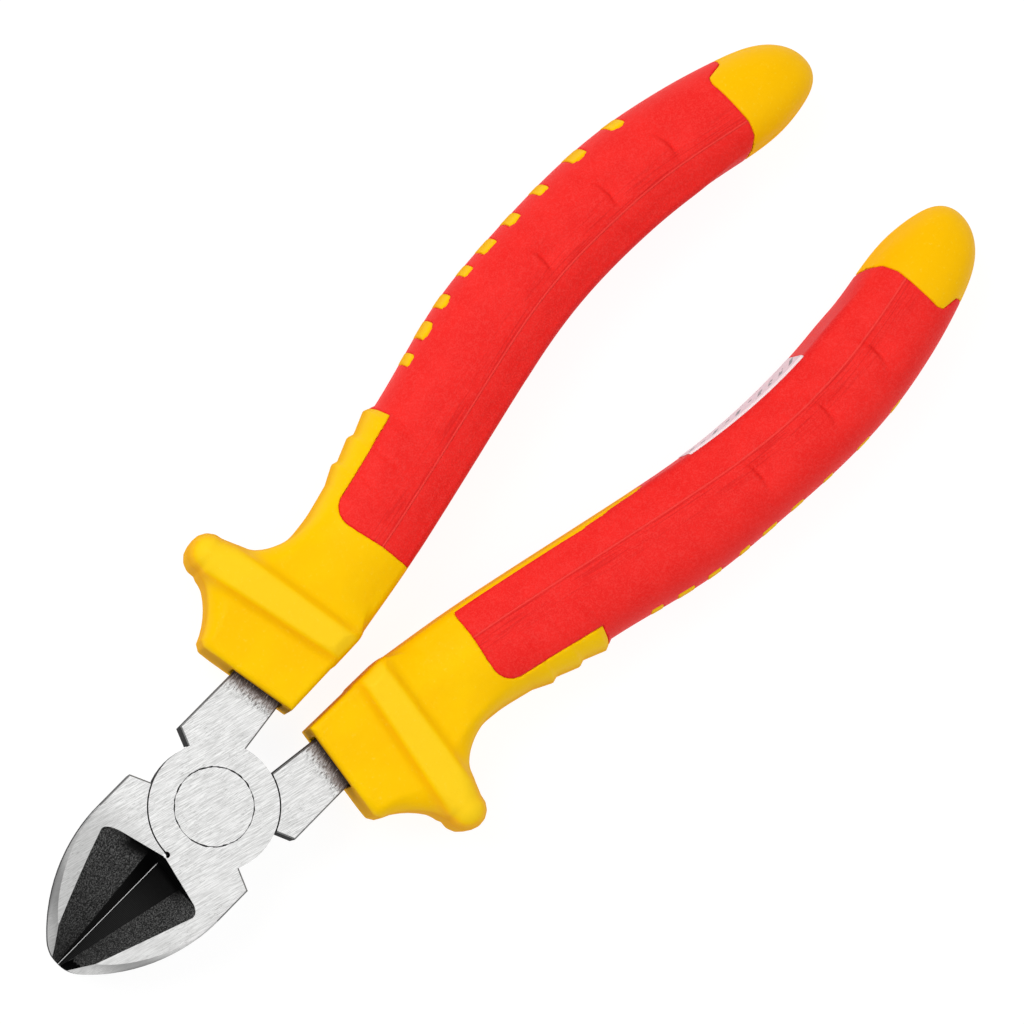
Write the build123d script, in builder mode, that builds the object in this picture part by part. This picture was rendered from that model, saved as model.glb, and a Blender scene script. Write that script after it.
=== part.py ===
"""Insulated diagonal cutting pliers of the 160 mm class, as eight separate pieces.

Frame: the origin is where the pivot's axis meets the ground back face of the lap joint. +X runs along the tool
to the tips of the jaws, +Y is the side of the rear half's handle and +Z is the front. The jaws are shut.

The two halves are one forging. The rear one is modelled, with its handle on +Y and its jaw on -Y, and the front
one is the same shape given half a turn about the tool's long axis. The handles' sleeves and grips follow them.
"""

import os
from math import asin, cos, degrees, pi, radians, sin, sqrt, tan

from build123d import *

os.makedirs("parts", exist_ok=True)

# The lap joint
THICK = 9.8              # steel, front face to back face
MID = THICK / 2          # height of the plane in which the two halves meet
BOSS_RADIUS = 9.0        # round half-thickness boss of each half
BOSS_GAP = 0.2           # radial gap between a boss and the other half
LAP_GAP = 0.05           # between the two bosses, face to face
EDGE_GAP = 0.05          # between the shut cutting edges
EDGE_BREAK = 0.2         # chamfer along the outer edges of the steel

# The rivet
SHANK_RADIUS = 4.0
HEAD_RADIUS = 5.45
HEAD_DEPTH = 2.0
RUNNING_GAP = 0.05       # radial, between the rivet and the front half, which turns on it

# The jaws
JAW_LENGTH = 30.0        # pivot to tip
JAW_WIDE = 11.35         # half the width of the head
JAW_ARC_START = 10.5     # where the outer side begins to curve in
NOSE_RADIUS = 5.0
SHOULDER_ANGLE = 66.5    # from +X to the jaw's back shoulder
TIP_THICK = 5.8          # of the steel at the very tip
WALL_FOOT = 9.6          # where the hollow's back wall meets the cutting edge, on the face
WALL_LEAN = 14.0         # degrees that the back wall leans in plan
WALL_DRAFT = 12.0        # degrees that it leans towards the tip as it goes down
WALL_FILLET = 1.3
HOLLOW_OVERRUN = 1.0     # of the cutter beyond the face
HOLLOW_START = 6.6       # where the hollow's width is measured, before the back wall cuts it short
HOLLOW_WIDTHS = (10.7, 1.8)  # on the face, there and beyond the tip
# Each face's smooth bevel beside the edge: its width at the start, how steeply it climbs, its width at the tip
STEEP_BEVEL = (2.4, 1.15, 0.1)
FLAT_BEVEL = (5.7, 0.35, 0.15)
RELIEF_RADIUS = 0.45     # round notch at the inner end of the cutting edges

# The arms, from the joint into the handles
ARM_WIDE = 11.06         # outer side of an arm
ARM_INNER = 2.46         # inner side where it leaves the boss
ARM_TAPER = 7.5          # degrees that the inner side leans out
STOP_ANGLE = 67.5        # from -X to the arm's stop shoulder
ARM_END = -22.0
TANG_END = -104.0
TANG_THICK = 6.6

# The handles. Each station: x, inner side, outer side, half thickness
HANDLE = (
    (-30.0, 2.0, 18.2, 7.6),
    (-38.0, 3.2, 19.0, 7.6),
    (-50.0, 5.5, 22.1, 7.8),
    (-62.0, 8.2, 24.9, 7.9),
    (-75.0, 11.2, 27.6, 8.0),
    (-89.0, 13.1, 28.8, 8.0),
    (-103.0, 12.9, 28.6, 7.9),
    (-114.0, 11.8, 27.2, 7.8),
    (-121.0, 10.8, 25.3, 7.5),
    (-126.0, 10.6, 24.0, 6.9),
    (-130.0, 11.3, 21.9, 5.6),
    (-132.6, 12.8, 19.5, 3.6),
    (-133.7, 14.8, 17.5, 1.5),
)
SQUARENESS = 2.5         # exponent of the rounded section: 2 is an ellipse, more is squarer
SKIN = 1.8               # thickness of the red grip
GUARD_THICK = 15.4
COLLAR_THICK = 18.0
GUARD_ROUND = 2.0
COLLAR_ROUND = 1.1
PAD_ROW = (-63.0, -67.6, -72.3, -77.6, -82.2, -87.4, -93.2, -100.2, -107.2)
PAD_LONG = 2.2
PAD_WIDE = 4.4
PAD_OFFSET = 2.6         # of the row of pads from the middle of the flank
PAD_FLANK = 24.0         # middle, in Y, of the outer flank that the pads are let into
PAD_REACH = 20.0
TOOTH_ROW = (-42.6, -46.7, -50.9)
TOOTH_RADIUS = 1.3
TOOTH_DEPTH = 0.4
TOOTH_FLANK = 20.0       # outer flank where the teeth begin
TOOTH_FLANK_SLOPE = 0.23
STRIP_WIDE = 9.2         # yellow strip let into the inner flank, behind the guard
STRIP_END = -73.4
LABEL_THICK = 0.15
LABEL_WIDE = 8.6
LABEL_RISE = 0.5         # of the label's middle above the handle's
LABEL_ENDS = (-102.4, -81.2)
LABEL_REACH = 15.0       # in Y, of the inner flank that the label is laid on
BIG = 60.0               # longer than anything that it has to cut through

MID_PLANE = Plane.XY.offset(MID)
TOOL_AXIS = Axis((0, 0, MID), (1, 0, 0))


def turned_over(part):
    """The same part on the other half of the tool."""
    return part.rotate(TOOL_AXIS, 180)


# ---------------------------------------------------------------------------------------------- the steel halves

def hollow_cutter(facet, facet_rise, far_facet):
    """The hollow ground into one face of a jaw, down to the cutting edge, as a solid to take away.

    facet is the width of the smooth bevel beside the edge at the start, facet_rise is how steeply it climbs and
    far_facet is its width at the tip. Beyond it the rough floor climbs to the face. The cutter is for a jaw on
    -Y, and its face is the front one.
    """
    start_width, tip_width = HOLLOW_WIDTHS
    stations = ((HOLLOW_START, start_width, facet), (JAW_LENGTH + 1.0, tip_width, far_facet))
    with BuildPart() as cutter:
        for x, face_width, width in stations:
            rise = width * facet_rise
            overrun = HOLLOW_OVERRUN * (face_width - width) / (MID - rise)
            with BuildSketch(Plane.YZ.offset(x)):
                with BuildLine():
                    Polyline(
                        (1.0, MID - facet_rise),
                        (-width, MID + rise),
                        (-face_width - overrun, THICK + HOLLOW_OVERRUN),
                        (1.0, THICK + HOLLOW_OVERRUN),
                        close=True,
                    )
                make_face()
        loft(ruled=True)
        lean, draft = radians(WALL_LEAN), radians(WALL_DRAFT)
        back_wall = Plane(
            origin=(WALL_FOOT, 0, THICK),
            z_dir=(cos(lean) * cos(draft), sin(lean) * cos(draft), sin(draft)),
        )
        split(bisect_by=back_wall, keep=Keep.TOP)
        wall = cutter.faces().sort_by(Axis.X)[0]
        floor_edges = wall.edges().filter_by(lambda edge: edge.center().Z < THICK and edge.center().Y < 0.5)
        fillet(floor_edges, radius=WALL_FILLET)
    return cutter.part


with BuildPart() as jaw_envelope:
    with BuildSketch(Plane.XZ):
        with BuildLine():
            corner_reach = sqrt(JAW_WIDE**2 + MID**2) + 0.1
            taper = ThreePointArc((12.0, corner_reach), (24.6, 7.4), (JAW_LENGTH, TIP_THICK / 2))
            Polyline(taper @ 1, (JAW_LENGTH, 0), (-5, 0), (-5, corner_reach), taper @ 0)
        make_face()
    revolve(axis=Axis.X)

with BuildPart() as jaw:
    side_radius = ((JAW_LENGTH - NOSE_RADIUS - JAW_ARC_START) ** 2 + JAW_WIDE**2 - NOSE_RADIUS**2) / (
        2 * (JAW_WIDE - NOSE_RADIUS)
    )
    side_turn = degrees(asin((JAW_LENGTH - NOSE_RADIUS - JAW_ARC_START) / (side_radius - NOSE_RADIUS)))
    shoulder = (JAW_WIDE / tan(radians(SHOULDER_ANGLE)), -JAW_WIDE)
    with BuildSketch():
        with BuildLine():
            flat = Polyline((0, 0), shoulder, (JAW_ARC_START, -JAW_WIDE))
            side = JernArc(flat @ 1, (1, 0), side_radius, side_turn)
            nose = JernArc(side @ 1, side % 1, NOSE_RADIUS, 90 - side_turn)
            Line(nose @ 1, (0, 0))
        make_face()
    extrude(amount=THICK)
    rim = jaw.faces().filter_by(Axis.Z).edges().filter_by(lambda edge: edge.center().Y < -0.5)
    chamfer(rim, EDGE_BREAK)
    split(bisect_by=Plane.XZ.offset(EDGE_GAP / 2), keep=Keep.TOP)
    add(jaw_envelope.part.moved(Location((0, 0, MID))), mode=Mode.INTERSECT)
    add(hollow_cutter(*STEEP_BEVEL), mode=Mode.SUBTRACT)
    add(hollow_cutter(*FLAT_BEVEL).mirror(MID_PLANE), mode=Mode.SUBTRACT)

with BuildPart() as arm:
    stop = (-ARM_WIDE / tan(radians(STOP_ANGLE)), ARM_WIDE)
    arm_root = (-sqrt(BOSS_RADIUS**2 - ARM_INNER**2), ARM_INNER)
    inner_end = (ARM_END, ARM_INNER + (arm_root[0] - ARM_END) * tan(radians(ARM_TAPER)))
    with BuildSketch():
        with BuildLine():
            Polyline((0, 0), stop, (ARM_END, ARM_WIDE), inner_end, arm_root, close=True)
        make_face()
    extrude(amount=THICK)
    rim = arm.faces().filter_by(Axis.Z).edges().filter_by(lambda edge: edge.center().X > ARM_END + 0.5)
    chamfer(rim, EDGE_BREAK)

with BuildPart() as tang:
    with BuildSketch(MID_PLANE):
        with BuildLine():
            outer = Spline((ARM_END + 1, 10.9), (-40, 15.2), (-60, 19.3), (-80, 22.3), (TANG_END, 22.0))
            inner = Spline((ARM_END + 1, 4.3), (-40, 8.4), (-60, 13.2), (-80, 17.1), (TANG_END, 17.4))
            Line(outer @ 0, inner @ 0)
            Line(outer @ 1, inner @ 1)
        make_face()
    extrude(amount=TANG_THICK / 2, both=True)
    fillet(tang.edges().filter_by(Axis.Z).group_by(Axis.X)[0], radius=2.2)

# One half before its pivot hole is bored, with its boss on the back face
with BuildPart() as forging:
    add(jaw.part)
    add(arm.part)
    with BuildSketch(MID_PLANE.offset(-LAP_GAP / 2)):
        Circle(BOSS_RADIUS + BOSS_GAP)
    extrude(amount=THICK, mode=Mode.SUBTRACT)
    with BuildSketch():
        Circle(BOSS_RADIUS)
    extrude(amount=MID - LAP_GAP / 2)
    add(tang.part)
    with Locations((BOSS_RADIUS + BOSS_GAP, 0, MID)):
        Cylinder(RELIEF_RADIUS, THICK + 1, mode=Mode.SUBTRACT)

with BuildPart() as rear_half:
    add(forging.part)
    with Locations(Plane.XY.rotated((180, 0, 0))):
        CounterBoreHole(SHANK_RADIUS, HEAD_RADIUS, HEAD_DEPTH)

with BuildPart() as front_half:
    add(turned_over(forging.part))
    with Locations((0, 0, THICK)):
        CounterBoreHole(SHANK_RADIUS + RUNNING_GAP, HEAD_RADIUS + RUNNING_GAP, HEAD_DEPTH + RUNNING_GAP)

with BuildPart() as pivot_rivet:
    with BuildSketch(Plane.XZ):
        with BuildLine():
            Polyline(
                (0, 0),
                (HEAD_RADIUS, 0),
                (HEAD_RADIUS, HEAD_DEPTH),
                (SHANK_RADIUS, HEAD_DEPTH),
                (SHANK_RADIUS, THICK - HEAD_DEPTH),
                (HEAD_RADIUS, THICK - HEAD_DEPTH),
                (HEAD_RADIUS, THICK),
                (0, THICK),
                close=True,
            )
        make_face()
    revolve()

# ------------------------------------------------------------------------------------------------- the handles

def rounded_section(half_wide, half_thick, count=20):
    """Points round a section between an ellipse and a rectangle."""
    power = 2 / SQUARENESS
    points = []
    for step in range(count):
        turn = 2 * pi * (step + 0.5) / count
        across = half_wide * abs(cos(turn)) ** power
        up = half_thick * abs(sin(turn)) ** power
        points.append((across if cos(turn) > 0 else -across, up if sin(turn) > 0 else -up))
    return points


def handle_body(grow):
    """The handle's smooth outer body on +Y, with its surface moved out by grow."""
    with BuildPart() as body:
        for x, inner_side, outer_side, half_thick in HANDLE:
            section_plane = Plane(
                origin=(x - grow, (inner_side + outer_side) / 2, MID), x_dir=(0, 1, 0), z_dir=(1, 0, 0)
            )
            with BuildSketch(section_plane):
                with BuildLine():
                    half_wide = (outer_side - inner_side) / 2 + grow
                    Spline(*rounded_section(half_wide, half_thick + grow), periodic=True)
                make_face()
        loft()
    return body.part


with BuildPart() as guard:
    with BuildSketch(MID_PLANE):
        with BuildLine():
            nose_face = Line((-16.7, 1.7), (-14.3, 16.5))
            fin = Spline(
                nose_face @ 1,
                (-18.4, 20.0),
                (-20.5, 24.2),
                (-22.3, 27.1),
                (-24.7, 27.8),
                (-27.2, 25.8),
                (-28.6, 22.2),
                (-31.0, 19.6),
                (-34.5, 18.6),
            )
            Polyline(fin @ 1, (-34.5, 2.7), nose_face @ 0)
        make_face()
        fillet(vertices().sort_by(Axis.X)[-1], radius=1.3)
    extrude(amount=GUARD_THICK / 2, both=True)
    rims = guard.faces().filter_by(Axis.Z).edges()
    rims = rims.filter_by(lambda edge: edge.center().X > -34.0 and edge.center().Y > 2.6)
    fillet(rims, radius=GUARD_ROUND)

# The collar is a raised band that runs from the fin down to the handle's inner side
with BuildPart() as collar:
    with BuildSketch(MID_PLANE):
        with BuildLine():
            band = Polyline((-21.9, 23.4), (-25.9, 2.5), (-30.1, 2.5), (-27.1, 22.9))
            ThreePointArc(band @ 0, (-24.1, 26.8), band @ 1)
        make_face()
    extrude(amount=COLLAR_THICK / 2, both=True)
    fillet(collar.faces().filter_by(Axis.Z).edges(), radius=COLLAR_ROUND)

# The sleeve and its grip together, as they look before the two colours are told apart
with BuildPart() as handle:
    add(handle_body(0))
    add(guard.part)
    add(collar.part)
    for x in TOOTH_ROW:
        flank = TOOTH_FLANK + TOOTH_FLANK_SLOPE * (TOOTH_ROW[0] - x)
        with Locations((x, flank + TOOTH_RADIUS - TOOTH_DEPTH, MID)):
            Cylinder(TOOTH_RADIUS, GUARD_THICK, mode=Mode.SUBTRACT)

with BuildPart() as grip_region:
    with BuildSketch(MID_PLANE):
        with BuildLine():
            Polyline(
                (-42.2, -5.0),
                (-42.1, 4.4),
                (-40.0, 16.8),
                (-55.3, 20.6),
                (-54.4, 24.3),
                (-54.4, BIG),
                (-124.4, BIG),
                (-124.4, 23.1),
                (-121.0, 23.1),
                (-120.1, 12.0),
                (-116.6, 11.0),
                (-116.6, -5.0),
                close=True,
            )
        make_face()
        fillet(vertices().sort_by(Axis.X)[-1], radius=2.0)
    extrude(amount=GUARD_THICK, both=True)

with BuildPart() as rear_grip:
    add(handle_body(0))
    add(grip_region.part, mode=Mode.INTERSECT)
    add(handle_body(-SKIN), mode=Mode.SUBTRACT)
    for x in PAD_ROW:
        with Locations((x, PAD_FLANK, MID - PAD_OFFSET)):
            Box(PAD_LONG, PAD_REACH, PAD_WIDE, mode=Mode.SUBTRACT)
    with BuildSketch(MID_PLANE):
        Polygon((-41.0, -5.0), (STRIP_END, -5.0), (STRIP_END, 14.5), (-41.0, 8.5), align=None)
    extrude(amount=STRIP_WIDE / 2, both=True, mode=Mode.SUBTRACT)

with BuildPart() as rear_sleeve:
    add(handle.part)
    add(rear_grip.part, mode=Mode.SUBTRACT)
    add(rear_half.part, mode=Mode.SUBTRACT)

with BuildPart() as stock_label:
    with Locations((sum(LABEL_ENDS) / 2, LABEL_REACH / 2, MID + LABEL_RISE)):
        Box(LABEL_ENDS[1] - LABEL_ENDS[0], LABEL_REACH, LABEL_WIDE)
    add(handle_body(LABEL_THICK), mode=Mode.INTERSECT)
    add(handle_body(0), mode=Mode.SUBTRACT)

# ---------------------------------------------------------------------------------------------------- the pieces

pieces = {
    "front_half": front_half.part,
    "rear_half": rear_half.part,
    "pivot_rivet": pivot_rivet.part,
    "front_handle_sleeve": turned_over(rear_sleeve.part),
    "rear_handle_sleeve": rear_sleeve.part,
    "front_handle_grip": turned_over(rear_grip.part),
    "rear_handle_grip": rear_grip.part,
    "stock_label": stock_label.part,
}
for name, piece in pieces.items():
    piece.label = name
    export_step(piece, f"parts/{name}.step")
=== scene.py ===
"""Insulated diagonal cutting pliers: the looks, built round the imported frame.

The steel halves and the rivet are the CAD's own. The moulded sleeves, the grips and the label are replaced
here by finer meshes. Each moulding is a signed distance field in millimetres, made into a mesh, and it is
described once, for the rear half's handle on +Y: the front half's is the same moulding given half a turn
about the tool's long axis. In these fields s is the distance from the pivot towards the handles' ends, which
is -X, y is +Y, and h is the height above the tool's middle plane.
"""

from math import cos, pi, radians, sin

import bpy
import numpy as np
import openvdb
from mathutils import Matrix, Vector


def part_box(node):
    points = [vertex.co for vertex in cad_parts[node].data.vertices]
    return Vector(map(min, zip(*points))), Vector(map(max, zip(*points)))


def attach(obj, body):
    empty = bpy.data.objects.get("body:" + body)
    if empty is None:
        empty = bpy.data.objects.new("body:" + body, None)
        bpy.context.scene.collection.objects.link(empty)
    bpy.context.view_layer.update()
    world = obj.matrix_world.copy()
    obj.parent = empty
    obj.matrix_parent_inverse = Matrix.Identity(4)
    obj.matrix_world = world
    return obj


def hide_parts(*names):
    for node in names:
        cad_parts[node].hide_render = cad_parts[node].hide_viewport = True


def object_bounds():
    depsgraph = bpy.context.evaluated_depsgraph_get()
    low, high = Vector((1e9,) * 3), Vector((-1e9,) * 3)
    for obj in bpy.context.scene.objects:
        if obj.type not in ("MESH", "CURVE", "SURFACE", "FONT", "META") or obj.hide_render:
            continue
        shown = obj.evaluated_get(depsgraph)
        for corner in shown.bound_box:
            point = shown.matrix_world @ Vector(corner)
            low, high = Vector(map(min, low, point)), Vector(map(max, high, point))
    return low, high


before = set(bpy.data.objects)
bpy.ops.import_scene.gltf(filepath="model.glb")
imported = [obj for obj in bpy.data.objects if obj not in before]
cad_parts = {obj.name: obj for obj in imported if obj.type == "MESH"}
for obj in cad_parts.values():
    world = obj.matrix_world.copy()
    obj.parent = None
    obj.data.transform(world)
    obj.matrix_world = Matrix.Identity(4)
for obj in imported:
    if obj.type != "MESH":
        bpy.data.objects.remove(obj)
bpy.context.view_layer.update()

MM = 0.001
rivet_low, rivet_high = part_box("pivot_rivet")
MID = (rivet_low.z + rivet_high.z) / 2 / MM
VOXEL = 0.27

# ------------------------------------------------------------------------------------- shapes as fields, mm

# Along the handle: s, inner side, outer side and half thickness
HANDLE = (
    (30.0, 2.1, 18.2, 7.7),
    (38.0, 3.4, 19.0, 7.7),
    (42.0, 4.1, 20.0, 7.75),
    (50.0, 5.75, 21.85, 7.8),
    (59.4, 7.85, 24.0, 7.9),
    (71.7, 10.6, 27.1, 8.0),
    (84.0, 12.9, 28.4, 8.0),
    (96.3, 13.7, 28.9, 8.0),
    (108.6, 12.9, 28.1, 7.9),
    (118.0, 11.2, 26.2, 7.7),
    (124.0, 10.1, 24.9, 7.6),
    (130.0, 9.0, 24.2, 7.5),
    (133.9, 7.5, 23.9, 7.4),
)
FLANK_HALF = 5.2         # the inner flank is flat up to here, and a sloping shoulder leads on to the seam
SEAM_IN = 4.8            # from the inner side to the seam
OUTER_SQUARENESS = 2.3   # exponent of the rounded outer side
CAP_START = 115.0        # where the handle's end begins to round off
CAP_END = 133.9
CAP_POWER = 2.8
PLATE_HALF = 7.7         # half thickness of the guard
COLLAR_HALF = 8.9
CRISP_EDGE = 0.9         # rounding of the guard's edges
FIN_EDGE = 2.3           # and how much more the fin's have
COLLAR_INSET = 0.3       # from the guard's outline to the collar's
FOLD = 1.6               # rounding between the guard and its collar
ARM_HALF = 4.9           # half thickness of the steel arm in the sleeve, and its fit
ARM_FIT = 0.12
LEAN = 0.025             # how far the handle's section leans over, and how much more towards the end
LEAN_MORE = 0.06
END_SWAY = 0.85          # how far both handles' ends sit to +Y
SKIN = 1.8               # thickness of the red grip
LIP = 0.15               # rounding along the meeting line of the two colours
SEAM_GAP = 0.01          # half the gap between them
# The thumb pad's outer flank stands out in three teeth: s and height
TEETH = (
    (40.0, 0.0),
    (42.8, 0.0),
    (45.5, 0.70),
    (46.4, 0.26),
    (49.7, 0.88),
    (50.7, 0.36),
    (53.9, 0.98),
    (55.6, 0.0),
)
TOOTH_CROWN = (0.35, 0.85)    # where they rise, from the inner side at 0 to the outer at 1
# The yellow pads along the outer flank, the strip along the inner one, and the finger dents
PADS = (63.0, 67.6, 72.3, 77.6, 82.2, 87.4, 93.2, 100.2, 107.2)
PAD_HALF = 3.9
PAD_PROUD = 0.07
STRIP_TOP = 5.25
STRIP_FOOT = -4.2
STRIP_END = 73.8
DENTS = ((85.5, 20.9), (98.6, 21.3), (109.6, 20.3))
DENT_DEPTH = 0.8
DENT_REACH = 2.2
# The label on the rear half's inner flank
LABEL_ENDS = (81.3, 102.5)
LABEL_SIDES = (-3.6, 4.9)
LABEL_THICK = 0.12
# The steel's markings: how far out the rivet's ring is, and where along +X the others begin or end
RIVET_RING = 5.47
HOLLOW_START = 9.4
JOINT_END = 9.8
JAW_SIDES_START = 10.8


def curve_through(knots, values):
    """The natural cubic through these values, as a function of s."""
    x, y = np.array(knots, float), np.array(values, float)
    step = np.diff(x)
    matrix, right = np.eye(len(x)), np.zeros(len(x))
    for i in range(1, len(x) - 1):
        matrix[i, i - 1 : i + 2] = step[i - 1], 2 * (step[i - 1] + step[i]), step[i]
        right[i] = 6 * ((y[i + 1] - y[i]) / step[i] - (y[i] - y[i - 1]) / step[i - 1])
    bend = np.linalg.solve(matrix, right)

    def value(s):
        i = np.clip(np.searchsorted(x, s) - 1, 0, len(x) - 2)
        left, rest, span = s - x[i], x[i + 1] - s, step[i]
        cubic = (bend[i] * rest**3 + bend[i + 1] * left**3) / (6 * span)
        from_left = (y[i] / span - bend[i] * span / 6) * rest
        from_right = (y[i + 1] / span - bend[i + 1] * span / 6) * left
        return cubic + from_left + from_right

    return value


stations, inner_sides, outer_sides, half_thicknesses = zip(*HANDLE)
inner_side = curve_through(stations, inner_sides)
outer_side = curve_through(stations, outer_sides)
half_thickness = curve_through(stations, half_thicknesses)


def smooth_step(low, high, value):
    t = np.clip((value - low) / (high - low), 0, 1)
    return t * t * (3 - 2 * t)


def round_intersection(a, b, radius):
    outside = np.sqrt(np.maximum(a + radius, 0) ** 2 + np.maximum(b + radius, 0) ** 2)
    return np.minimum(-radius, np.maximum(a, b)) + outside


def round_union(a, b, radius):
    inside = np.sqrt(np.maximum(radius - a, 0) ** 2 + np.maximum(radius - b, 0) ** 2)
    return np.maximum(radius, np.minimum(a, b)) - inside


def polygon(s, y, corners):
    """Signed distance in plan to a closed outline, negative inside."""
    corners = np.array(corners, float)
    nearest, inside = np.full(np.broadcast(s, y).shape, 1e9), np.zeros(np.broadcast(s, y).shape, bool)
    for (s0, y0), (s1, y1) in zip(corners, np.roll(corners, -1, axis=0)):
        ds, dy = s1 - s0, y1 - y0
        along = np.clip(((s - s0) * ds + (y - y0) * dy) / (ds * ds + dy * dy), 0, 1)
        nearest = np.minimum(nearest, (s - s0 - along * ds) ** 2 + (y - y0 - along * dy) ** 2)
        if dy != 0:
            crosses = ((y0 > y) != (y1 > y)) & (s < s0 + (y - y0) * ds / dy)
            inside ^= crosses
    return np.sqrt(nearest) * np.where(inside, -1, 1)


def slab(plan, h, half, radius):
    """A plan distance given a thickness, with its edges rounded."""
    return round_intersection(plan, np.abs(h) - half, radius)


def arc(start, middle, end, count=8):
    """Points along the arc through three points, start included and end left out."""
    (ax, ay), (bx, by), (cx, cy) = start, middle, end
    d = 2 * (ax * (by - cy) + bx * (cy - ay) + cx * (ay - by))
    a2, b2, c2 = ax * ax + ay * ay, bx * bx + by * by, cx * cx + cy * cy
    ox = (a2 * (by - cy) + b2 * (cy - ay) + c2 * (ay - by)) / d
    oy = (a2 * (cx - bx) + b2 * (ax - cx) + c2 * (bx - ax)) / d
    radius = np.hypot(ax - ox, ay - oy)
    first = np.arctan2(ay - oy, ax - ox)
    turn = (np.arctan2(cy - oy, cx - ox) - first) % (2 * pi)
    if (np.arctan2(by - oy, bx - ox) - first) % (2 * pi) > turn:
        turn -= 2 * pi
    angles = first + turn * np.arange(count) / count
    return [(ox + radius * cos(a), oy + radius * sin(a)) for a in angles]


# The guard in plan: the nose round the arm, the fin, and the neck that the handle grows out of
GUARD = (
    [(16.7, 1.7), (14.35, 16.4)]
    + arc((14.9, 17.4), (19.5, 20.7), (21.6, 24.2))
    + arc((21.6, 24.2), (23.9, 27.55), (26.6, 25.0))
    + [(26.6, 25.0), (27.5, 23.0)]
    + arc((28.4, 21.4), (30.7, 19.5), (34.7, 18.6))
    + [(34.7, 18.6), (38.0, 19.0), (42.0, 20.0), (44.0, 20.5), (44.0, 4.5)]
    + [(42.0, 4.1), (38.0, 3.4), (34.0, 2.65), (30.5, 2.05)]
)
# The raised band across it, from the fin to the inner side
COLLAR = (
    [(21.6, 23.6)]
    + arc((21.8, 24.5), (23.9, 27.15), (26.3, 24.8))
    + [(26.3, 24.8), (27.2, 22.5), (30.3, 1.9), (26.0, 1.9)]
)
# Where the red grip lies in plan
GRIP = (
    [(42.2, -6.0), (42.1, 4.4), (41.4, 8.7), (40.5, 12.5)]
    + arc((40.2, 14.4), (40.7, 16.2), (42.3, 17.4), 5)
    + [(42.3, 17.4), (47.0, 18.5), (55.3, 20.6), (54.9, 22.4), (54.5, 23.8), (54.4, 60.0), (124.3, 60.0)]
    + [(124.3, 23.9), (123.7, 23.3), (121.0, 23.0), (120.5, 22.1), (120.2, 14.8), (119.6, 12.8)]
    + [(118.3, 11.7), (116.6, 11.0), (116.6, -6.0)]
)
# The steel arm inside the sleeve
ARM = ((0.0, 3.2), (16.0, 3.2), (24.0, 4.4), (24.0, 11.3), (0.0, 11.3))


def roll(s):
    """How much the section leans over: a little, and more towards the end, which turns the inner flank up."""
    return LEAN + LEAN_MORE * smooth_step(76, 100, s)


def handle_field(s, y, h):
    """The handle's whole outer body, sleeve and grip together, before the guard."""
    y = y - roll(s) * h
    inner, outer, half = inner_side(s), outer_side(s), half_thickness(s)
    up = np.abs(h)
    rise = half - FLANK_HALF
    shoulder = (-rise * (y - inner) + SEAM_IN * (up - FLANK_HALF)) / np.hypot(rise, SEAM_IN)
    inner_part = round_intersection(round_intersection(inner - y, shoulder, 0.9), up - half, 1.2)
    across = (y - (inner + outer) / 2) / ((outer - inner) / 2)
    powers = np.abs(across) ** OUTER_SQUARENESS + (up / half) ** OUTER_SQUARENESS
    section = powers ** (1 / OUTER_SQUARENESS)
    end = np.clip((s - CAP_START) / (CAP_END - CAP_START), 0, None)
    rounded = (np.sqrt(section**2 + end**CAP_POWER) - 1) * half
    squared = np.where(across < 0, inner_part, rounded)
    return squared + (rounded - squared) * smooth_step(107, 119, s)


def teeth_field(s, y, h):
    """How far the thumb pad's teeth stand out of the outer flank."""
    across = (y - inner_side(s)) / (outer_side(s) - inner_side(s))
    return np.interp(s, *zip(*TEETH)) * smooth_step(*TOOTH_CROWN, across)


def dent_field(s, y, h):
    """How deep the finger dents are, each steep on the jaws' side and rising slowly towards the end."""
    depth = 0
    for station, side in DENTS:
        along = s - station + 0.09 * (y - side) ** 2
        rise = smooth_step(-0.4, 0.4, along) * (1 - smooth_step(0.2, 6.5, along))
        depth = depth + DENT_DEPTH * rise * np.exp(-(((y - side) / DENT_REACH) ** 2))
    return depth * smooth_step(2.0, 5.0, np.abs(h))


def pad_field(s, y, h):
    """Where the yellow pads show through on the outer flank."""
    pads = 1e9
    for index, station in enumerate(PADS):
        half_long = 0.95 + 0.2 * ((index * 5) % 3)
        pad = round_intersection(np.abs(s - station) - half_long, np.abs(h + 0.5) - PAD_HALF, 0.5)
        pads = np.minimum(pads, pad)
    return np.maximum(pads, (inner_side(s) + outer_side(s)) / 2 - y)


def window_field(s, y, h):
    """Where the yellow shows through the grip: the pads, and the strip that runs along the inner flank."""
    top = STRIP_TOP - 0.7 * smooth_step(62.0, STRIP_END, s)
    across = np.abs(h - (top + STRIP_FOOT) / 2) - (top - STRIP_FOOT) / 2
    strip = np.maximum(round_intersection(across, s - STRIP_END, 2.0), y - inner_side(s) - 3.0)
    return np.minimum(pad_field(s, y, h), strip)


def body_field(s, y, h):
    """The finished outer surface of the handle proper, with its pads just proud of the grip."""
    proud = PAD_PROUD * (1 - smooth_step(-0.3, 0.3, pad_field(s, y, h)))
    return handle_field(s, y, h) - teeth_field(s, y, h) + dent_field(s, y, h) - proud


def red_region(s, y, h):
    return np.maximum(polygon(s, y, GRIP), -window_field(s, y, h))


def grip_field(s, y, h):
    skin = round_intersection(body_field(s, y, h), red_region(s, y, h) + SEAM_GAP, LIP)
    return np.maximum(skin, -(handle_field(s, y, h) + SKIN))


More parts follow.
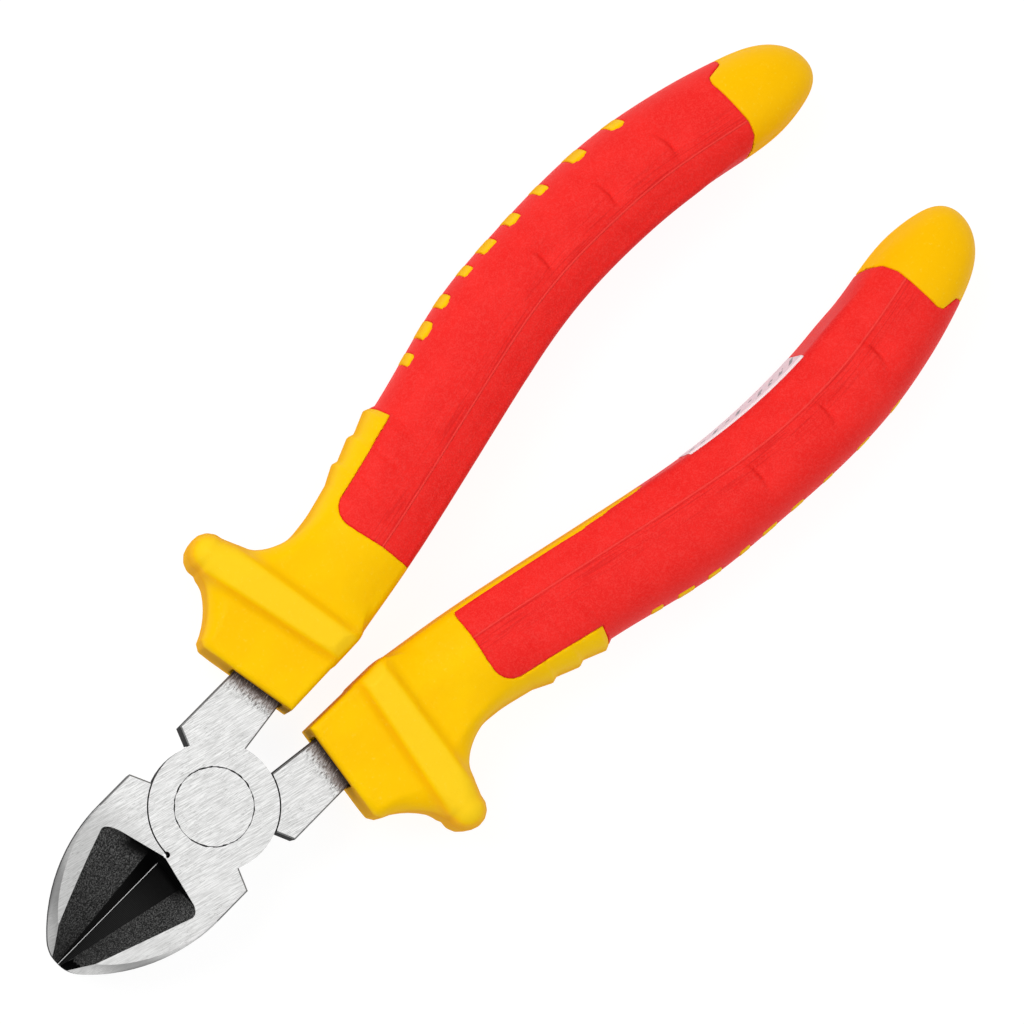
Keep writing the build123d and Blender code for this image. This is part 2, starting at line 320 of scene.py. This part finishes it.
def plate_and_collar(s, y, h):
    """The guard's two parts, with crisp edges at the nose and along the inner side, and full round ones at
    the fin."""
    edge = CRISP_EDGE + FIN_EDGE * smooth_step(14.0, 19.0, y)
    plan = polygon(s, y, GUARD)
    nose = slab(plan, h, PLATE_HALF, edge)
    inner_end = 1 - smooth_step(2.5, 6.0, y)
    band = np.maximum(polygon(s, y, COLLAR), plan + COLLAR_INSET + 0.5 * inner_end)
    collar_edge = CRISP_EDGE + 0.9 * inner_end + 1.5 * smooth_step(19.0, 25.0, y)
    collar = slab(band, h, COLLAR_HALF, collar_edge)
    return nose, collar


def guard_field(s, y, h):
    return round_union(*plate_and_collar(s, y, h), FOLD)


def sleeve_field(s, y, h):
    guard = guard_field(s, y, h)
    far = smooth_step(9.0, 16.0, y)
    whole = guard + (body_field(s, y, h) - guard) * smooth_step(29.6 + 1.4 * far, 35.5 + 7.0 * far, s)
    pocket = np.maximum(red_region(s, y, h) - SEAM_GAP, -(handle_field(s, y, h) + SKIN))
    arm_hole = slab(polygon(s, y, ARM), h, ARM_HALF + ARM_FIT, 0.1) - ARM_FIT
    return np.maximum(round_intersection(whole, -pocket, LIP), -arm_hole)


def sway(s):
    """Both handles' ends sit a little to +Y."""
    return END_SWAY * smooth_step(74, 130, s)


# ----------------------------------------------------------------------------------------- fields to meshes

def mesh_of(field, low, high):
    """The surface where a field is 0, as points and faces. The grid leans with the handle, so that the
    moulding's long edges run along it, and the points are then moved onto the surface."""
    s, t, h = (np.arange(a, b, VOXEL) for a, b in zip(low, high))
    s3, t3, h3 = s[:, None, None], t[None, :, None], h[None, None, :]

    def lean(along):
        return (inner_side(np.maximum(along, 40.0)) + outer_side(np.maximum(along, 40.0))) / 2

    values = field(s3, t3 + lean(s3), h3)
    values = np.broadcast_to(values, (len(s), len(t), len(h)))
    grid = openvdb.FloatGrid()
    grid.background = 5.0
    grid.copyFromArray(np.ascontiguousarray(np.clip(values, -5, 5), np.float32))
    points, triangles, quads = grid.convertToPolygons(0.0, 0.0)
    points = points.astype(float) * VOXEL + np.array(low)
    points[:, 1] += lean(points[:, 0])
    tiny = 0.02
    for _ in range(3):
        value = field(*points.T)
        rises = [field(*(points + tiny * axis).T) - field(*(points - tiny * axis).T) for axis in np.eye(3)]
        slope = np.stack(rises, axis=1) / (2 * tiny)
        move = value[:, None] * slope / np.maximum((slope**2).sum(1), 0.05)[:, None]
        length = np.linalg.norm(move, axis=1, keepdims=True)
        points -= move * np.minimum(1, 0.5 * VOXEL / np.maximum(length, 1e-9))
    return points, [tuple(f) for f in quads.tolist()] + [tuple(f) for f in triangles.tolist()]


def moulding(name, points, faces, front, material):
    """A mesh from points in s, y and h, on the rear half's side, or turned over onto the front half's."""
    side = -1 if front else 1
    s, y, h = points.T
    located = np.stack([-s, side * y + sway(s), MID + side * h], axis=1) * MM
    mesh = bpy.data.meshes.new(name)
    # s runs against X, so the faces are wound the other way
    mesh.from_pydata(located.tolist(), [], [face[::-1] for face in faces])
    mesh.update()
    mesh.shade_smooth()
    piece = bpy.data.objects.new(name, mesh)
    bpy.context.scene.collection.objects.link(piece)
    mesh.materials.append(material)
    return piece


# ------------------------------------------------------------------------------------------------ materials

def new_material(name):
    """A material with nodes, its node tree and its shader."""
    material = bpy.data.materials.new(name)
    material.use_nodes = True
    tree = material.node_tree
    shader = tree.nodes["Principled BSDF"]
    return material, tree, shader


def feed(tree, socket, value):
    """Links a node's output to a socket, or sets the socket to a plain value."""
    if isinstance(value, bpy.types.NodeSocket):
        tree.links.new(value, socket)
    else:
        socket.default_value = value


def math(tree, operation, first, second=0.0, third=0.0, clamp=False):
    node = tree.nodes.new("ShaderNodeMath")
    node.operation = operation
    node.use_clamp = clamp
    for socket, value in zip(node.inputs, (first, second, third)):
        feed(tree, socket, value)
    return node.outputs[0]


def ramp(tree, value, low, high, out_low=0.0, out_high=1.0):
    """Eases from out_low to out_high as value goes from low to high."""
    node = tree.nodes.new("ShaderNodeMapRange")
    node.interpolation_type = "SMOOTHSTEP"
    for socket, item in zip(node.inputs, (value, low, high, out_low, out_high)):
        feed(tree, socket, item)
    return node.outputs[0]


def mix(tree, factor, first, second):
    """One colour where factor is 0, the other where it is 1."""
    node = tree.nodes.new("ShaderNodeMix")
    node.data_type = "RGBA"
    for name, value in (("Factor_Float", factor), ("A_Color", first), ("B_Color", second)):
        socket = next(item for item in node.inputs if item.identifier == name)
        feed(tree, socket, value)
    return next(item for item in node.outputs if item.identifier == "Result_Color")


def place(tree, scale=(1, 1, 1), turn=0.0):
    """Object coordinates in millimetres, turned about the height and then stretched."""
    coordinates = tree.nodes.new("ShaderNodeTexCoord")
    turned = tree.nodes.new("ShaderNodeVectorRotate")
    turned.rotation_type = "Z_AXIS"
    feed(tree, turned.inputs["Vector"], coordinates.outputs["Object"])
    feed(tree, turned.inputs["Angle"], radians(turn))
    stretched = tree.nodes.new("ShaderNodeVectorMath")
    stretched.operation = "MULTIPLY"
    feed(tree, stretched.inputs[0], turned.outputs[0])
    feed(tree, stretched.inputs[1], [factor / MM for factor in scale])
    return stretched.outputs[0]


def split_xyz(tree, vector):
    node = tree.nodes.new("ShaderNodeSeparateXYZ")
    feed(tree, node.inputs[0], vector)
    return node.outputs


def noise(tree, vector, scale=1.0, detail=2.0, roughness=0.5):
    """Noise from 0 to 1, with features about 1 / scale in size."""
    node = tree.nodes.new("ShaderNodeTexNoise")
    for name, value in (("Vector", vector), ("Scale", scale), ("Detail", detail), ("Roughness", roughness)):
        feed(tree, node.inputs[name], value)
    return node.outputs["Fac"]


def bump(tree, height, distance, strength=1.0, under=None):
    """A bump whose full height is distance, in millimetres."""
    node = tree.nodes.new("ShaderNodeBump")
    feed(tree, node.inputs["Height"], height)
    feed(tree, node.inputs["Distance"], distance * MM)
    feed(tree, node.inputs["Strength"], strength)
    if under is not None:
        feed(tree, node.inputs["Normal"], under)
    return node.outputs[0]


def attribute(tree, name):
    node = tree.nodes.new("ShaderNodeAttribute")
    node.attribute_name = name
    return node.outputs["Fac"]


def yellow_plastic():
    """Hard satin moulding, with the faint flow marks and flecks of a filled plastic."""
    material, tree, shader = new_material("yellow_plastic")
    flow = noise(tree, place(tree, (0.10, 0.16, 0.16)), detail=3)
    colour = mix(tree, ramp(tree, flow, 0.35, 0.7), (0.97, 0.555, 0.0, 1), (0.98, 0.59, 0.0, 1))
    painted_fold_shade_highlight = attribute(tree, "painted_fold_shade_highlight")
    # Painted highlight: paler yellow on the collar's top
    colour = mix(tree, ramp(tree, painted_fold_shade_highlight, 0.0, -0.8, 0.0, 0.6), colour, (0.98, 0.66, 0.02, 1))
    # Painted shade: deeper orange in the fold beside the collar
    colour = mix(tree, math(tree, "MULTIPLY", painted_fold_shade_highlight, 0.7, clamp=True), colour, (0.96, 0.46, 0.0, 1))
    coordinates = tree.nodes.new("ShaderNodeTexCoord")
    level = math(tree, "ABSOLUTE", split_xyz(tree, coordinates.outputs["Normal"])[2])
    upright = ramp(tree, level, 0.05, 0.5, 1.0, 0.0)
    # Painted shade: upright faces, the flanks and walls, are tinted a darker orange
    colour = mix(tree, math(tree, "MULTIPLY", upright, 0.5), colour, (0.78, 0.27, 0.0, 1))
    end = ramp(tree, split_xyz(tree, place(tree))[0], -116.0, -110.0)
    colour = mix(tree, end, (0.97, 0.52, 0.0, 1), colour)
    fleck = noise(tree, place(tree), scale=2.2, detail=4, roughness=0.7)
    colour = mix(tree, ramp(tree, fleck, 0.57, 0.75, 0.0, 0.45), colour, (0.98, 0.70, 0.06, 1))
    fine = noise(tree, place(tree), scale=5.0, detail=4, roughness=0.6)
    feed(tree, shader.inputs["Base Color"], colour)
    rough = ramp(tree, fine, 0.3, 0.7, 0.36, 0.46)
    feed(tree, shader.inputs["Roughness"], math(tree, "MULTIPLY_ADD", upright, 0.4, rough))
    soft = noise(tree, place(tree), scale=0.45, detail=2)
    feed(tree, shader.inputs["Normal"], bump(tree, fine, 0.006, under=bump(tree, soft, 0.12)))
    shader.inputs["Specular IOR Level"].default_value = 0.04
    return material


def red_grip():
    """Soft grip with a fine leathery grain, a raised parting line, and drawn-out flow lines beyond that."""
    material, tree, shader = new_material("red_grip")
    cells = tree.nodes.new("ShaderNodeTexVoronoi")
    feed(tree, cells.inputs["Vector"], place(tree))
    feed(tree, cells.inputs["Scale"], 4.6)
    grain = math(tree, "MULTIPLY", cells.outputs["Distance"], noise(tree, place(tree), scale=1.6, detail=3))
    patch = noise(tree, place(tree), scale=0.28, detail=3)
    from_seam = attribute(tree, "from_seam")
    along = split_xyz(tree, place(tree))[0]
    line_place = tree.nodes.new("ShaderNodeCombineXYZ")
    feed(tree, line_place.inputs[0], math(tree, "MULTIPLY", along, 0.14))
    feed(tree, line_place.inputs[1], math(tree, "MULTIPLY", from_seam, 4.2))
    lines = noise(tree, line_place.outputs[0], scale=1.0, detail=3)
    beside = ramp(tree, from_seam, -0.1, 0.3)
    beside = math(tree, "MULTIPLY", beside, ramp(tree, from_seam, 0.8, 4.5, 1.0, 0.0))
    streaks = math(tree, "MULTIPLY", ramp(tree, lines, 0.48, 0.66), beside)
    ridge = ramp(tree, math(tree, "ABSOLUTE", from_seam), 0.04, 0.20, 1.0, 0.0)
    from_shade_line = math(tree, "ABSOLUTE", math(tree, "SUBTRACT", from_seam, 0.26))
    painted_groove_shade = ramp(tree, from_shade_line, 0.03, 0.16, 1.0, 0.0)
    shade = mix(tree, ramp(tree, patch, 0.35, 0.68), (0.86, 0.015, 0.012, 1), (0.90, 0.019, 0.015, 1))
    # Painted shade: darker red along the inner flank's corner
    shade = mix(tree, ramp(tree, from_seam, -5.2, -3.6, 0.8, 0.0), shade, (0.70, 0.006, 0.011, 1))
    shade = mix(tree, ramp(tree, grain, 0.08, 0.5, 0.0, 0.45), shade, (0.94, 0.060, 0.052, 1))
    shade = mix(tree, math(tree, "MULTIPLY", streaks, 0.45), shade, (0.60, 0.008, 0.008, 1))
    # Painted highlight: a lighter line along the parting line's ridge
    shade = mix(tree, math(tree, "MULTIPLY", ridge, 0.4), shade, (0.95, 0.085, 0.070, 1))
    # Painted shade: a dark line just beside the ridge
    shade = mix(tree, math(tree, "MULTIPLY", painted_groove_shade, 0.35), shade, (0.58, 0.008, 0.008, 1))
    feed(tree, shader.inputs["Base Color"], shade)
    feed(tree, shader.inputs["Roughness"], ramp(tree, grain, 0.0, 0.5, 0.5, 0.62))
    normal = bump(tree, grain, 0.06, 1.0)
    normal = bump(tree, math(tree, "MULTIPLY", lines, beside), 0.07, 0.9, under=normal)
    normal = bump(tree, ridge, 0.08, 0.9, under=normal)
    feed(tree, shader.inputs["Normal"], normal)
    shader.inputs["Specular IOR Level"].default_value = 0.10
    return material


def label_paper():
    """Satin film label with a row of plain slanting strokes."""
    material, tree, shader = new_material("label_film")
    x, _, z = split_xyz(tree, place(tree))
    height = math(tree, "SUBTRACT", z, MID)
    slanted = math(tree, "MULTIPLY_ADD", height, -0.42, x)
    strokes = math(tree, "PINGPONG", slanted, 1.05)
    broken = noise(tree, place(tree, (0.5, 0.0, 0.35)), scale=1.0, detail=2)
    row = ramp(tree, math(tree, "ABSOLUTE", math(tree, "SUBTRACT", height, 0.9)), 1.3, 1.7, 1.0, 0.0)
    kept = math(tree, "MULTIPLY", row, ramp(tree, broken, 0.40, 0.50))
    printed = math(tree, "MULTIPLY", ramp(tree, strokes, 0.60, 0.74), kept)
    mottle = noise(tree, place(tree), scale=1.2, detail=3)
    paper = mix(tree, ramp(tree, mottle, 0.3, 0.7), (0.68, 0.49, 0.56, 1), (0.77, 0.60, 0.67, 1))
    # Painted highlight: the film is lighter along its top, where it turns over the flank's corner
    paper = mix(tree, ramp(tree, height, 3.7, 4.5), paper, (0.95, 0.86, 0.88, 1))
    feed(tree, shader.inputs["Base Color"], mix(tree, printed, paper, (0.13, 0.10, 0.13, 1)))
    feed(tree, shader.inputs["Roughness"], ramp(tree, mottle, 0.3, 0.7, 0.35, 0.45))
    feed(tree, shader.inputs["Normal"], bump(tree, mottle, 0.01))
    return material


def scratched_steel(tree, x, steep, jaw_side):
    """Scratches at two lengths, small dark flecks, slow clouding, and painted shade on the jaws' rounded
    sides.
    """
    long_scratch = noise(tree, place(tree, (0.42, 9.5, 1.0), 15.0), detail=3, roughness=0.6)
    short_scratch = noise(tree, place(tree, (1.3, 13.0, 1.0), 11.0), detail=2, roughness=0.6)
    fleck = noise(tree, place(tree, (2.2, 4.5, 1.0), 14.0), detail=3, roughness=0.65)
    cloud = noise(tree, place(tree), scale=0.22, detail=3)
    light = ramp(tree, long_scratch, 0.30, 0.70)
    dark_line = ramp(tree, short_scratch, 0.56, 0.72)
    dark_line = math(tree, "MULTIPLY", dark_line, ramp(tree, cloud, 0.35, 0.65, 0.25, 0.75))
    dark_line = math(tree, "MAXIMUM", dark_line, ramp(tree, fleck, 0.68, 0.76, 0.0, 0.8))
    light = math(tree, "MULTIPLY", light, ramp(tree, x, 6.0, 20.0, 1.0, 0.65))
    colour = mix(tree, light, (0.48, 0.48, 0.475, 1), (0.79, 0.79, 0.785, 1))
    if jaw_side < 0:
        # Painted shade: this jaw is darkened, as its tilted face reflects less light than the other's
        colour = mix(tree, ramp(tree, x, 7.0, 14.0, 0.0, 0.26), colour, (0, 0, 0, 1))
    colour = mix(tree, dark_line, colour, (0.14, 0.137, 0.134, 1))
    # Painted shade: the jaws' rounded sides are darkened where they reflect less light
    painted_reflection_shade = math(tree, "MULTIPLY", ramp(tree, x, 18.0, 22.0), ramp(tree, x, 23.5, 28.0, 0.65, 0.0))
    painted_reflection_shade = math(tree, "MULTIPLY", painted_reflection_shade, ramp(tree, steep, 0.80, 0.99, 1.0, 0.0))
    return mix(tree, painted_reflection_shade, colour, (0.14, 0.14, 0.14, 1)), long_scratch, short_scratch


def with_rivet_ring(tree, x, y, colour):
    """The thin dark ring where the rivet's head meets the joint."""
    squares = math(tree, "ADD", math(tree, "MULTIPLY", x, x), math(tree, "MULTIPLY", y, y))
    radius = math(tree, "SQRT", squares)
    wander = math(tree, "MULTIPLY_ADD", noise(tree, place(tree), scale=0.9, detail=3), 0.22, -0.11)
    ring = math(tree, "ABSOLUTE", math(tree, "SUBTRACT", math(tree, "ADD", radius, wander), RIVET_RING))
    thick = ramp(tree, noise(tree, place(tree), scale=0.8), 0.35, 0.65, 0.03, 0.13)
    return mix(tree, math(tree, "LESS_THAN", ring, thick), colour, (0.03, 0.03, 0.03, 1))


def dark_sides(tree, x, height, steep):
    """Where the steel is dark: its sides, the broken edges of everything but the jaws, and, as painted shade,
    the faces that meet inside the joint, which are seen down the gap round its boss."""
    side = ramp(tree, steep, 0.10, 0.42, 1.0, 0.0)
    broken = ramp(tree, steep, 0.62, 0.93, 0.85, 0.0)
    behind_jaws = math(tree, "LESS_THAN", x, JAW_SIDES_START)
    side = math(tree, "MAXIMUM", side, math(tree, "MULTIPLY", broken, behind_jaws))
    # Painted shade: the faces inside the joint, seen down the gap, are made dark
    inside = math(tree, "LESS_THAN", math(tree, "ABSOLUTE", height), 0.5)
    inside = math(tree, "MULTIPLY", inside, math(tree, "LESS_THAN", x, JOINT_END))
    return math(tree, "MAXIMUM", side, inside)


def with_heat_stain(tree, x, y, colour):
    """Heat stain by the guard's nose: brown, crossed by bright scratches, with sooty specks round its rim."""
    from_nose = math(tree, "MULTIPLY_ADD", math(tree, "ABSOLUTE", y), -0.168, math(tree, "ADD", x, 17.2))
    streak = noise(tree, place(tree, (0.9, 7.5, 1.0), -8.0), detail=3, roughness=0.7)
    reach = math(tree, "MULTIPLY_ADD", streak, 2.2, from_nose)
    soot = noise(tree, place(tree, (1.6, 3.5, 1.0), -8.0), detail=4, roughness=0.75)
    rim = math(tree, "MULTIPLY", ramp(tree, reach, 1.6, 2.6), ramp(tree, reach, 3.0, 4.6, 1.0, 0.0))
    rim = math(tree, "MULTIPLY", rim, ramp(tree, soot, 0.46, 0.60, 0.0, 0.85))
    colour = mix(tree, rim, colour, (0.07, 0.065, 0.06, 1))
    brown = mix(tree, ramp(tree, from_nose, 0.2, 2.4), (0.016, 0.009, 0.007, 1), (0.15, 0.088, 0.066, 1))
    scrape = noise(tree, place(tree, (1.2, 10.0, 1.0), -10.0), detail=2)
    brown = mix(tree, ramp(tree, scrape, 0.56, 0.70, 0.0, 0.5), brown, (0.42, 0.34, 0.30, 1))
    return mix(tree, ramp(tree, reach, 1.7, 3.6, 0.97, 0.0), colour, brown)


def hollow_area(tree, x, from_edge, normal_y, jaw_side):
    """The hollows: surfaces that face the cutting edge, except the bright edge itself."""
    facing = ramp(tree, math(tree, "MULTIPLY", normal_y, -jaw_side), 0.05, 0.10)
    beyond = math(tree, "GREATER_THAN", x, HOLLOW_START)
    nick = noise(tree, place(tree, (1.0, 0.0, 0.0)), scale=1.6, detail=3)
    off_edge = ramp(tree, math(tree, "MULTIPLY_ADD", nick, 0.07, from_edge), 0.04, 0.06)
    return math(tree, "MULTIPLY", math(tree, "MULTIPLY", facing, beyond), off_edge)


def hollow_finish(tree, x, from_edge, height, steep, grit, jaw_side):
    """The hollows' black and their relief. Each face's hollow has a gritty floor, and along the edge a smooth
    milled bevel, which narrows towards the tip."""
    front = math(tree, "GREATER_THAN", math(tree, "MULTIPLY", height, jaw_side), 0)
    wide_facet = math(tree, "LESS_THAN", from_edge, math(tree, "MULTIPLY_ADD", x, -0.2275, 7.20))
    narrow_facet = math(tree, "LESS_THAN", from_edge, math(tree, "MULTIPLY_ADD", x, -0.0943, 3.02))
    facet = mix(tree, front, narrow_facet, wide_facet)
    wall = math(tree, "LESS_THAN", steep, 0.4)
    milled = math(tree, "PINGPONG", math(tree, "ADD", x, math(tree, "MULTIPLY", grit, 0.05)), 0.11)
    milled = ramp(tree, milled, 0.0, 0.11)
    gritty = mix(tree, ramp(tree, grit, 0.42, 0.68), (0.011, 0.011, 0.011, 1), (0.145, 0.145, 0.143, 1))
    # Painted shade: the floor is blacker in the corner between the back wall and the edge
    wall_place = math(tree, "MULTIPLY_ADD", from_edge, 0.242, 9.3)
    from_wall = math(tree, "SUBTRACT", math(tree, "MULTIPLY", x, 0.97), wall_place)
    corner = ramp(tree, from_wall, 0.8, 2.4, 0.95, 0.0)
    corner = math(tree, "MULTIPLY", corner, ramp(tree, from_edge, 4.5, 6.5, 1.0, 0.0))
    gritty = mix(tree, corner, gritty, (0.003, 0.003, 0.003, 1))
    smooth = mix(tree, milled, (0.003, 0.003, 0.003, 1), (0.019, 0.019, 0.019, 1))
    smooth = mix(tree, ramp(tree, x, 11.0, 19.0), (0.002, 0.002, 0.002, 1), smooth)
    black = mix(tree, facet, gritty, smooth)
    relief = mix(tree, facet, grit, math(tree, "MULTIPLY", milled, 0.3))
    return mix(tree, wall, black, (0.002, 0.002, 0.002, 1)), relief


def ground_steel(name, jaw_side):
    """Ground steel with its scratches all one way, dark sides, black hollows beside the cutting edge and a
    heat stain by the handle. jaw_side is +1 where the jaw is on +Y, -1 where it is on -Y, and 0 where there
    is none."""
    material, tree, shader = new_material(name)
    x, y, z = split_xyz(tree, place(tree))
    height = math(tree, "SUBTRACT", z, MID)
    coordinates = tree.nodes.new("ShaderNodeTexCoord")
    _, normal_y, normal_z = split_xyz(tree, coordinates.outputs["Normal"])
    steep = math(tree, "ABSOLUTE", normal_z)

    colour, long_scratch, short_scratch = scratched_steel(tree, x, steep, jaw_side)
    colour = with_rivet_ring(tree, x, y, colour)
    side = dark_sides(tree, x, height, steep)
    side_noise = noise(tree, place(tree), scale=2.0, detail=4)
    side_tone = mix(tree, side_noise, (0.016, 0.016, 0.017, 1), (0.06, 0.06, 0.06, 1))
    colour = mix(tree, side, colour, side_tone)
    colour = with_heat_stain(tree, x, y, colour)
    rough = math(tree, "MULTIPLY_ADD", side, 0.45, ramp(tree, long_scratch, 0.3, 0.7, 0.32, 0.44))
    metal = math(tree, "SUBTRACT", 1.0, side)
    relief = math(tree, "ADD", long_scratch, math(tree, "MULTIPLY", short_scratch, 0.6))
    depth = 1.0
    if jaw_side:
        from_edge = math(tree, "ABSOLUTE", y)
        grit = noise(tree, place(tree), scale=4.6, detail=4, roughness=0.75)
        hollow = hollow_area(tree, x, from_edge, normal_y, jaw_side)
        black, hollow_relief = hollow_finish(tree, x, from_edge, height, steep, grit, jaw_side)
        colour = mix(tree, hollow, colour, black)
        rough = mix(tree, hollow, rough, ramp(tree, grit, 0.3, 0.7, 0.42, 0.6))
        metal = math(tree, "SUBTRACT", metal, hollow, clamp=True)
        relief = mix(tree, hollow, relief, hollow_relief)
        depth = ramp(tree, hollow, 0.0, 1.0, 1.0, 6.0)
    feed(tree, shader.inputs["Base Color"], colour)
    feed(tree, shader.inputs["Roughness"], rough)
    feed(tree, shader.inputs["Metallic"], metal)
    shader.inputs["Specular IOR Level"].default_value = 0.04
    feed(tree, shader.inputs["Normal"], bump(tree, math(tree, "MULTIPLY", relief, depth), 0.012))
    return material


# ----------------------------------------------------------------------------------------------- the pieces

BODY_SIDES = (("rear", False), ("front", True))
yellow, red, film = yellow_plastic(), red_grip(), label_paper()

grip_points, grip_faces = mesh_of(grip_field, (39.0, -10.0, -9.0), (125.5, 10.0, 9.0))
sleeve_points, sleeve_faces = mesh_of(sleeve_field, (13.0, -11.5, -9.7), (135.0, 17.5, 9.7))

# The grip's material reads how far each point is from the parting line
seam_s, seam_y, seam_h = grip_points.T
from_seam = seam_y - roll(seam_s) * seam_h - inner_side(seam_s) - SEAM_IN

# and the sleeve's reads painted shade in the fold beside the collar, and painted highlight, below 0, on the
# collar
sleeve_s, sleeve_y, sleeve_h = sleeve_points.T
beyond = polygon(sleeve_s, sleeve_y, COLLAR)
by_jaws = sleeve_s < 28.5 - 0.16 * sleeve_y
painted_shade_and_highlight = np.where(by_jaws, 0.75, 0.25) * np.exp(-((np.maximum(beyond, 0) / 0.8) ** 2))
painted_shade_and_highlight = painted_shade_and_highlight + np.where(by_jaws, 0.35, 0.25) * np.exp(-np.maximum(beyond, 0) / 3.5)
painted_collar_highlight = painted_shade_and_highlight * np.exp(beyond / 0.25) - 0.8 * (1 - np.exp(beyond / 0.35))
painted_shade_and_highlight = np.where(beyond < 0, painted_collar_highlight, painted_shade_and_highlight) * smooth_step(3.0, 6.0, np.abs(sleeve_h))

for half, is_front in BODY_SIDES:
    sleeve = moulding(f"{half}_sleeve_moulding", sleeve_points, sleeve_faces, is_front, yellow)
    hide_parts(f"{half}_handle_sleeve")
    painted_light_values = sleeve.data.attributes.new("painted_fold_shade_highlight", "FLOAT", "POINT")
    painted_light_values.data.foreach_set("value", painted_shade_and_highlight)
    grip = moulding(f"{half}_grip_moulding", grip_points, grip_faces, is_front, red)
    seam_values = grip.data.attributes.new("from_seam", "FLOAT", "POINT")
    seam_values.data.foreach_set("value", from_seam)
    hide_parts(f"{half}_handle_grip")
    for piece in (sleeve, grip):
        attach(piece, f"{half}_body")


def label_piece():
    """The label as a thin film laid on the inner flank of the rear half's grip."""
    columns, rows = 48, 14
    s = np.linspace(*LABEL_ENDS, columns)[:, None] + np.zeros((1, rows))
    h = np.linspace(*LABEL_SIDES, rows)[None, :] + np.zeros((columns, 1))
    y = inner_side(s)
    # Each step closes most of what is left to the grip's surface
    for _ in range(25):
        y = y + body_field(s, y, h)
    under = np.stack([s, y - 0.01, h], axis=-1)
    over = np.stack([s, y - 0.01 - LABEL_THICK, h], axis=-1)
    points = np.concatenate([under.reshape(-1, 3), over.reshape(-1, 3)])
    index = np.arange(columns * rows).reshape(columns, rows)
    top = index + columns * rows
    faces = []
    for i in range(columns - 1):
        for j in range(rows - 1):
            faces.append((index[i, j], index[i, j + 1], index[i + 1, j + 1], index[i + 1, j]))
            faces.append((top[i, j], top[i + 1, j], top[i + 1, j + 1], top[i, j + 1]))
    rim = list(index[:, 0]) + list(index[-1, 1:]) + list(index[-2::-1, -1]) + list(index[0, -2:0:-1])
    for a, b in zip(rim, rim[1:] + rim[:1]):
        faces.append((a, b, b + columns * rows, a + columns * rows))
    faces = [tuple(int(i) for i in face) for face in faces]
    return moulding("stock_label_film", points, faces, False, film)


label = label_piece()
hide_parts("stock_label")
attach(label, "rear_body")

for node, jaw_side in (("front_half", 1), ("rear_half", -1), ("pivot_rivet", 0)):
    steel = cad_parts[node]
    steel.data.materials.clear()
    steel.data.materials.append(ground_steel(f"{node}_steel", jaw_side))

# ------------------------------------------------------------------------------------------------ the stage

low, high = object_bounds()
FLOOR = low.z - 0.05 * MM


def pale_floor():
    material, tree, shader = new_material("pale_floor")
    shader.inputs["Base Color"].default_value = (0.15, 0.15, 0.15, 1)
    shader.inputs["Roughness"].default_value = 0.9
    shader.inputs["Specular IOR Level"].default_value = 0.0
    # Lit a little from within, as a light table is, so that the shadows on it stay faint
    shader.inputs["Emission Color"].default_value = (1, 1, 1, 1)
    shader.inputs["Emission Strength"].default_value = 0.9
    mesh = bpy.data.meshes.new("floor")
    mesh.from_pydata([(-3, -3, FLOOR), (3, -3, FLOOR), (3, 3, FLOOR), (-3, 3, FLOOR)], [], [(0, 1, 2, 3)])
    mesh.materials.append(material)
    floor = bpy.data.objects.new("floor", mesh)
    bpy.context.scene.collection.objects.link(floor)


def area_light(name, where, aim, size, watts, colour=(1, 1, 1)):
    lamp = bpy.data.lights.new(name, "AREA")
    lamp.shape = "DISK"
    lamp.size = size
    lamp.energy = watts
    lamp.color = colour
    holder = bpy.data.objects.new(name, lamp)
    holder.location = where
    holder.rotation_euler = (Vector(aim) - Vector(where)).to_track_quat("-Z", "Y").to_euler()
    bpy.context.scene.collection.objects.link(holder)


pale_floor()
world = bpy.data.worlds.new("studio")
world.use_nodes = True
world.node_tree.nodes["Background"].inputs["Color"].default_value = (1, 1, 1, 1)
world.node_tree.nodes["Background"].inputs["Strength"].default_value = 0.47
bpy.context.scene.world = world

centre = (low + high) / 2
area_light("key", centre + Vector((0.15, -0.60, 0.85)), centre, 0.7, 4.9)
area_light("fill", centre + Vector((-0.5, 0.6, 0.8)), centre, 1.0, 1.4)
area_light("overhead", centre + Vector((0, 0, 1.1)), centre, 1.2, 2.5)

# The camera looks nearly straight down, from a little beyond the joint, with the jaws at the lower left
EYE = Vector((0.046, -0.019, 0.70))     # from the front of the joint
AIM = Vector((-0.05787, 0.00074, 0))
AXIS_ANGLE = 45.45       # of the tool in the picture, above the horizontal
WIDTH_SEEN = 0.1416
pivot = Vector((0, 0, rivet_high.z))
eye, aim = pivot + EYE, pivot + AIM
camera_data = bpy.data.cameras.new("camera")
camera_data.sensor_width = 36
camera_data.lens = 36 * (aim - eye).length / WIDTH_SEEN
camera = bpy.data.objects.new("camera", camera_data)
forward = (aim - eye).normalized()
handles_way = Vector((-1, 0, 0)) - forward * Vector((-1, 0, 0)).dot(forward)
handles_way.normalize()
side_way = forward.cross(handles_way)
angle = radians(AXIS_ANGLE)
right = handles_way * cos(angle) + side_way * sin(angle)
up = handles_way * sin(angle) - side_way * cos(angle)
camera.matrix_world = Matrix.Translation(eye) @ Matrix((right, up, -forward)).transposed().to_4x4()
bpy.context.scene.collection.objects.link(camera)
bpy.context.scene.camera = camera
bpy.context.scene.view_settings.view_transform = "Standard"
